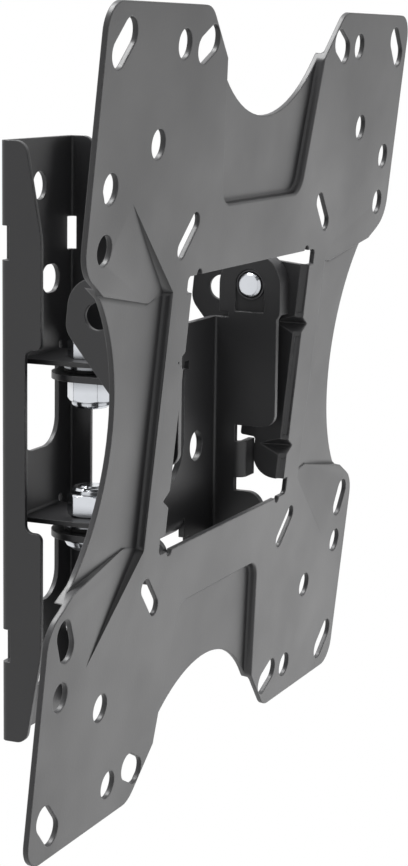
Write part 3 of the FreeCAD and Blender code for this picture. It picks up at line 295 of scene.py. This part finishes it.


# The coat's light edge colour is partly wear and partly a painted highlight along its edges,
# and its tight corners get painted shade.
charcoal = make_finish("charcoal powder coat", tone(60, 60, 62), tone(190, 190, 192),
                       rough=0.42, bump=0.10, shift=0.08, wear_and_highlight=1.0, soft=0.0005, reach=0.0016)
zinc = make_finish("bright zinc plate", tone(212, 215, 220), tone(242, 243, 245),
                   rough=0.14, bump=0.04, metal=1.0, peel=2600.0, drift=160.0, shift=0.06,
                   width=0.0003)
nylon = make_finish("black nylon", tone(34, 34, 35), tone(60, 60, 60),
                    rough=0.5, bump=0.08, peel=3000.0, drift=120.0, wear_and_highlight=0.2)
# A darker copy of the zinc for threads and inserts: painted shade in their grooves, with a
# little oily film.
zinc_with_painted_shade = make_finish("zinc with painted thread shade", tone(96, 96, 98), tone(170, 170, 170),
                        rough=0.35, bump=0.06, metal=1.0, peel=2600.0, drift=160.0, wear_and_highlight=0.4,
                        width=0.0003)
print("finishes:", [finish.name for finish in (charcoal, zinc, nylon, zinc_with_painted_shade)])

# %% [markdown]
# The nodes of the frame are grouped by what they are made of. The solids of the nuts, rings,
# washers, inserts and bushes have the right shape already, so they keep their mesh and only
# change finish.

# %% Finishes on the hardware


def finish_for(node):
    """Coat for sheets, nylon for rings, slip washers and bushes, and zinc for the rest."""
    if node in ("wall_plate", "swivel_yoke", "vesa_plate"):
        return charcoal
    if "nylon" in node or "slip" in node or "bush" in node:
        return nylon
    # Inserts take the darker zinc, which paints the shade inside them.
    return zinc_with_painted_shade if "insert" in node else zinc


for name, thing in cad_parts.items():
    thing.data.materials.clear()
    thing.data.materials.append(finish_for(name))
print("dressed:", len(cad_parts), "nodes")

# %% [markdown]
# Modifiers are a convenient way to make a shape, but each piece here should end as a plain
# mesh. This helper reads what an object's modifiers make.

# %% Plain mesh helper


def plain_mesh(thing):
    """What an object's modifiers make of it, as a mesh of its own."""
    finished = thing.evaluated_get(bpy.context.evaluated_depsgraph_get())
    return bpy.data.meshes.new_from_object(finished)


print("helper:", plain_mesh.__name__)

# %% [markdown]
# A photographed sheet never has a perfectly sharp edge: the shear rolls it over a little and
# the coat rounds it further, and that round is what catches the light. The solids' edges are
# sharp, so each sheet is copied, its triangles are merged into clean faces, and a bevel goes
# round every sharp edge. The pressed steps of the front plate are rounder than its cut edges.
# A step's wall is 2.4 mm deep and a cut edge is 1.5 mm, so the depth of a wall tells which it
# is. The diagonal walls taper to nothing and stay sharp, because a round has no room at their
# tips. Each edge carries a weight, its share of the widest round.

# %% Soft edges on the folded sheets
FLAT_TURN = math.radians(0.6)
SHARP_TURN = math.radians(35)
CUT_SHARE = 0.25
STEP_SHALLOWEST, STEP_DEEPEST = 0.0018, 0.0026
FULL_WALL_SHARE = 0.75
PLATE_LEAN = math.radians(5.95)
PLATE_DEPTH = Vector((0, math.cos(PLATE_LEAN), math.sin(PLATE_LEAN)))


def cut_edge(edge):
    """Full weight for every edge that turns by more than SHARP_TURN."""
    return 1.0 if edge.calc_face_angle(0.0) > SHARP_TURN else 0.0


def pressed_edge(edge):
    """Full weight along the walls of the pressed steps, less for cut edges."""
    wall = min(edge.link_faces, key=lambda face: abs(face.normal.dot(PLATE_DEPTH)))
    depths = [vertex.co.dot(PLATE_DEPTH) for vertex in wall.verts]
    depth = max(depths) - min(depths)
    if not STEP_SHALLOWEST < depth < STEP_DEEPEST:
        return cut_edge(edge) * CUT_SHARE
    tapers = wall.calc_area() < FULL_WALL_SHARE * depth * edge.calc_length()
    return 0.0 if tapers else cut_edge(edge)


def soften(node, name, body, width, weigh=cut_edge, sliver=2e-6, clamp=True):
    """A copy of a sheet with small rounds on its edges, standing for the node.

    Edges shorter than sliver are merged first. Without clamp, one short edge no longer
    limits the rounds of the whole sheet.
    """
    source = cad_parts[node]
    mesh = source.data.copy()
    mesh.name = name
    work = bmesh.new()
    work.from_mesh(mesh)
    work.transform(source.matrix_world)
    bmesh.ops.remove_doubles(work, verts=work.verts, dist=sliver)
    bmesh.ops.dissolve_limit(work, angle_limit=FLAT_TURN, verts=work.verts, edges=work.edges)
    layer = work.edges.layers.float.new("bevel_weight_edge")
    count = 0
    for edge in work.edges:
        if len(edge.link_faces) == 2:
            edge[layer] = weigh(edge)
            count += edge[layer] > 0
    for face in work.faces:
        face.smooth = True
    work.to_mesh(mesh)
    work.free()
    piece = bpy.data.objects.new(name, mesh)
    bpy.context.scene.collection.objects.link(piece)
    bevel = piece.modifiers.new("edge", "BEVEL")
    bevel.width = width
    bevel.segments = 2
    bevel.limit_method = "WEIGHT"
    bevel.use_clamp_overlap = clamp
    even = piece.modifiers.new("even", "WEIGHTED_NORMAL")
    even.weight = 100
    even.keep_sharp = False
    even.mode = "FACE_AREA"
    mesh.materials.clear()
    mesh.materials.append(charcoal)
    solid = plain_mesh(piece)
    piece.modifiers.clear()
    piece.data = solid
    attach(piece, body)
    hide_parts(node)
    print(name, "edges:", count, "faces:", len(solid.polygons))


soften("wall_plate", "wall_channel", "wall", width=0.00022)
soften("swivel_yoke", "folded_yoke", "yoke", width=0.00025)
soften("vesa_plate", "front_plate", "plate", width=0.0008, weigh=pressed_edge,
       sliver=3e-5, clamp=False)

# %% [markdown]
# The bolts are M8 with a pitch of 1.25 mm. A thread is a small tooth that follows a helix,
# so it is made with Geometry Nodes: a spiral curve, a three-cornered profile, and Curve to
# Mesh. The spiral's normals are held level and the profile is turned half round, so that one
# corner, the tooth, always points outward. The tree's inputs are the radius of the spiral,
# the number of turns, the pitch, the size of the tooth and the finish, and the same tree
# serves all four bolts.

# %% Thread tree
SPIRAL_RADIUS = 0.00358
TURNS = 3.0
PITCH = 0.00125
TOOTH = 0.00042
TOOTH_TURN = math.pi


def make_thread_tree():
    """A helical thread that rises along +z from the origin."""
    tree = bpy.data.node_groups.new("thread", "GeometryNodeTree")
    socket = tree.interface.new_socket
    socket(name="Geometry", in_out="INPUT", socket_type="NodeSocketGeometry")
    number_socket(tree, "Radius", SPIRAL_RADIUS)
    number_socket(tree, "Turns", TURNS)
    number_socket(tree, "Pitch", PITCH)
    number_socket(tree, "Tooth", TOOTH)
    socket(name="Finish", in_out="INPUT", socket_type="NodeSocketMaterial")
    socket(name="Geometry", in_out="OUTPUT", socket_type="NodeSocketGeometry")
    source = add(tree, "NodeGroupInput")
    target = add(tree, "NodeGroupOutput")
    spiral = add(tree, "GeometryNodeCurveSpiral", Resolution=24)
    height = add(tree, "ShaderNodeMath", operation="MULTIPLY")
    level = add(tree, "GeometryNodeSetCurveNormal", mode="Z_UP")
    profile = add(tree, "GeometryNodeCurvePrimitiveCircle", Resolution=3)
    turn = add(tree, "GeometryNodeTransform", Rotation=(0, 0, TOOTH_TURN))
    sweep = add(tree, "GeometryNodeCurveToMesh")
    sweep.inputs["Fill Caps"].default_value = True
    real = add(tree, "GeometryNodeRealizeInstances")
    paint = add(tree, "GeometryNodeSetMaterial")
    join = tree.links.new
    join(source.outputs["Radius"], spiral.inputs["Start Radius"])
    join(source.outputs["Radius"], spiral.inputs["End Radius"])
    join(source.outputs["Turns"], spiral.inputs["Rotations"])
    join(source.outputs["Turns"], height.inputs[0])
    join(source.outputs["Pitch"], height.inputs[1])
    join(height.outputs["Value"], spiral.inputs["Height"])
    join(source.outputs["Tooth"], profile.inputs["Radius"])
    join(spiral.outputs["Curve"], level.inputs["Curve"])
    join(level.outputs["Curve"], sweep.inputs["Curve"])
    join(profile.outputs["Curve"], turn.inputs["Geometry"])
    join(turn.outputs["Geometry"], sweep.inputs["Profile Curve"])
    join(sweep.outputs["Mesh"], real.inputs["Geometry"])
    join(real.outputs["Geometry"], paint.inputs["Geometry"])
    join(source.outputs["Finish"], paint.inputs["Material"])
    join(paint.outputs["Geometry"], target.inputs["Geometry"])
    return tree


thread_tree = make_thread_tree()
sockets = {}
for item in thread_tree.interface.items_tree:
    if item.in_out == "INPUT":
        sockets[item.name] = item.identifier
print("tree:", thread_tree.name, sockets)

# %% [markdown]
# Each bolt's solid has a plain shank of the thread's outer radius. The copy's shank is drawn
# in to the thread's root, and the tree's mesh is laid round its end. The bolt's box tells
# where its end is: the middle of the box across the axis, and the far side along it.

# %% Bolts with threads
SHANK_LIMIT = 0.00405
ROOT_SHARE = 0.92
END_GAP = 0.0006


def thread_bolt(node, name, body, axis, sign):
    """A bolt with a real thread on its end; its end points to sign along the axis."""
    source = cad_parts[node]
    work = bmesh.new()
    work.from_mesh(source.data)
    work.transform(source.matrix_world)
    low = Vector([min(v.co[i] for v in work.verts) for i in range(3)])
    high = Vector([max(v.co[i] for v in work.verts) for i in range(3)])
    tip = (low + high) / 2
    tip[axis] = high[axis] if sign > 0 else low[axis]
    for vertex in work.verts:
        out = vertex.co - tip
        out[axis] = 0.0
        if out.length < SHANK_LIMIT:
            vertex.co -= out * (1 - ROOT_SHARE)
    thing = bpy.data.objects.new(name, bpy.data.meshes.new(name))
    bpy.context.scene.collection.objects.link(thing)
    helix = thing.modifiers.new("thread", "NODES")
    helix.node_group = thread_tree
    helix[sockets["Turns"]] = TURNS
    # The thread takes the darker zinc, which paints the shade in its grooves.
    helix[sockets["Finish"]] = zinc_with_painted_shade
    coil = plain_mesh(thing)
    thing.modifiers.clear()
    widest = max(math.hypot(v.co.x, v.co.y) for v in coil.vertices)
    back = Vector([-sign if i == axis else 0 for i in range(3)])
    turn = Vector((0, 0, 1)).rotation_difference(back).to_matrix().to_4x4()
    coil.transform(Matrix.Translation(tip + back * END_GAP) @ turn)
    plain = len(work.faces)
    work.from_mesh(coil)
    work.faces.ensure_lookup_table()
    for face in work.faces[plain:]:
        face.material_index = 1
    work.to_mesh(thing.data)
    work.free()
    thing.data.materials.append(zinc)
    thing.data.materials.append(zinc_with_painted_shade)
    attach(thing, body)
    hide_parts(node)
    radius = round(widest * 1000, 2)
    print(name, "faces:", len(thing.data.polygons), "thread radius:", radius, "mm")


thread_bolt("upper_swivel_bolt", "upper_swivel_screw", "wall", axis=2, sign=-1)
thread_bolt("lower_swivel_bolt", "lower_swivel_screw", "wall", axis=2, sign=1)
thread_bolt("left_tilt_bolt", "left_tilt_screw", "yoke", axis=0, sign=1)
thread_bolt("right_tilt_bolt", "right_tilt_screw", "yoke", axis=0, sign=-1)

# %% [markdown]
# The mount hangs on a wall, so the floor is more than a metre below it, where no shadow of it
# can be seen. Floor and surroundings are plain white for the camera and for reflections, as
# in a studio, but they send little light of their own, which keeps the inside of the mount
# dark.

# %% Floor and surroundings
FLOOR_SIDE = 8
FLOOR_HEIGHT = -1.3
DIM_LIGHT = 0.07
WHITE = (1, 1, 1, 1)


def background_rays(tree, *kinds):
    """An output that is 1 for the rays that see plain white, and 0 for all others."""
    path = add(tree, "ShaderNodeLightPath")
    found = path.outputs[kinds[0]]
    for kind in kinds[1:]:
        either = add(tree, "ShaderNodeMath", operation="MAXIMUM")
        tree.links.new(found, either.inputs[0])
        tree.links.new(path.outputs[kind], either.inputs[1])
        found = either.outputs["Value"]
    return found


def plain_white(name):
    """A surface that is white to the camera and in gloss, and dull grey to other light."""
    finish = bpy.data.materials.new(name)
    finish.use_nodes = True
    tree = finish.node_tree
    shader = tree.nodes["Principled BSDF"]
    shader.inputs["Base Color"].default_value = tone(105, 105, 105)
    shader.inputs["Roughness"].default_value = 0.9
    out = tree.nodes["Material Output"]
    glow = add(tree, "ShaderNodeEmission", Color=WHITE, Strength=1.0)
    mix = add(tree, "ShaderNodeMixShader")
    join = tree.links.new
    join(background_rays(tree, "Is Camera Ray", "Is Glossy Ray"), mix.inputs["Fac"])
    join(shader.outputs["BSDF"], mix.inputs[1])
    join(glow.outputs["Emission"], mix.inputs[2])
    join(mix.outputs["Shader"], out.inputs["Surface"])
    return finish


def light_world(name):
    """Dim surroundings that are white to the camera, in gloss and through glass."""
    world = bpy.data.worlds.new(name)
    world.use_nodes = True
    tree = world.node_tree
    dim = tree.nodes["Background"]
    dim.inputs["Color"].default_value = WHITE
    dim.inputs["Strength"].default_value = DIM_LIGHT
    bright = add(tree, "ShaderNodeBackground", Color=WHITE, Strength=1.0)
    blend = add(tree, "ShaderNodeMixShader")
    rays = background_rays(tree, "Is Camera Ray", "Is Glossy Ray", "Is Transmission Ray")
    join = tree.links.new
    join(rays, blend.inputs["Fac"])
    join(dim.outputs["Background"], blend.inputs[1])
    join(bright.outputs["Background"], blend.inputs[2])
    join(blend.outputs["Shader"], tree.nodes["World Output"].inputs["Surface"])
    return world


bpy.ops.mesh.primitive_plane_add(size=FLOOR_SIDE, location=(0, 0, 0))
floor = bpy.context.object
floor.name = "floor"
floor.data.transform(Matrix.Translation((0, 0, FLOOR_HEIGHT)))
floor.data.materials.append(plain_white("studio white"))
bpy.context.scene.world = light_world("studio")
print("floor:", floor.name, "world:", bpy.context.scene.world.name)

# %% [markdown]
# Two large soft lamps light the mount. The main one is weak and stands low on the right,
# near the direction that the front plate mirrors towards the camera, so that it adds a sheen
# that grows towards the bottom of the plate. The other hangs overhead and a little behind,
# and lights the upper edges without reaching the faces that look forward. Little of their
# light gets inside the folded parts.

# %% Lamps
MOUNT_MIDDLE = Vector((0, -0.05, 0))


def add_lamp(name, place, size, power):
    """A square area lamp that looks at the middle of the mount."""
    data = bpy.data.lights.new(name, "AREA")
    data.size = size
    data.energy = power
    lamp = bpy.data.objects.new(name, data)
    lamp.location = place
    lamp.rotation_euler = (MOUNT_MIDDLE - Vector(place)).to_track_quat("-Z", "Y").to_euler()
    bpy.context.scene.collection.objects.link(lamp)


add_lamp("main", (1.15, -0.65, -0.45), size=0.9, power=2.4)
add_lamp("top", (0.05, 0.55, 2.0), size=1.0, power=45)

# %% [markdown]
# The camera stands where the hole pattern of the front plate says: about 66 degrees round
# to the left, 10 degrees above level and 0.66 m from the middle of the wall plate, with a
# long lens and no shift. Three directions turn it: across the picture, down the picture and
# straight ahead.

# %% Camera
ACROSS = Vector((0.40272584, -0.91521794, 0.01371171))
DOWN = Vector((-0.15630278, -0.0835231, -0.98417139))
AHEAD = Vector((0.90187656, 0.39420808, -0.17668802))
STAND = Vector((-0.5701, -0.3049, 0.1172))
FOCAL_PIXELS = 2160.2
PICTURE_HEIGHT = 866
SENSOR_HEIGHT = 24

camera_data = bpy.data.cameras.new("camera")
camera_data.sensor_fit = "VERTICAL"
camera_data.sensor_height = SENSOR_HEIGHT
camera_data.lens = SENSOR_HEIGHT * FOCAL_PIXELS / PICTURE_HEIGHT
camera_data.clip_start = 0.01
camera = bpy.data.objects.new("camera", camera_data)
facing = Matrix((ACROSS, -DOWN, -AHEAD)).transposed().to_4x4()
camera.matrix_world = Matrix.Translation(STAND) @ facing
bpy.context.scene.collection.objects.link(camera)
bpy.context.scene.camera = camera
bpy.context.scene.view_settings.view_transform = "Standard"
print("lens:", round(camera_data.lens, 2))
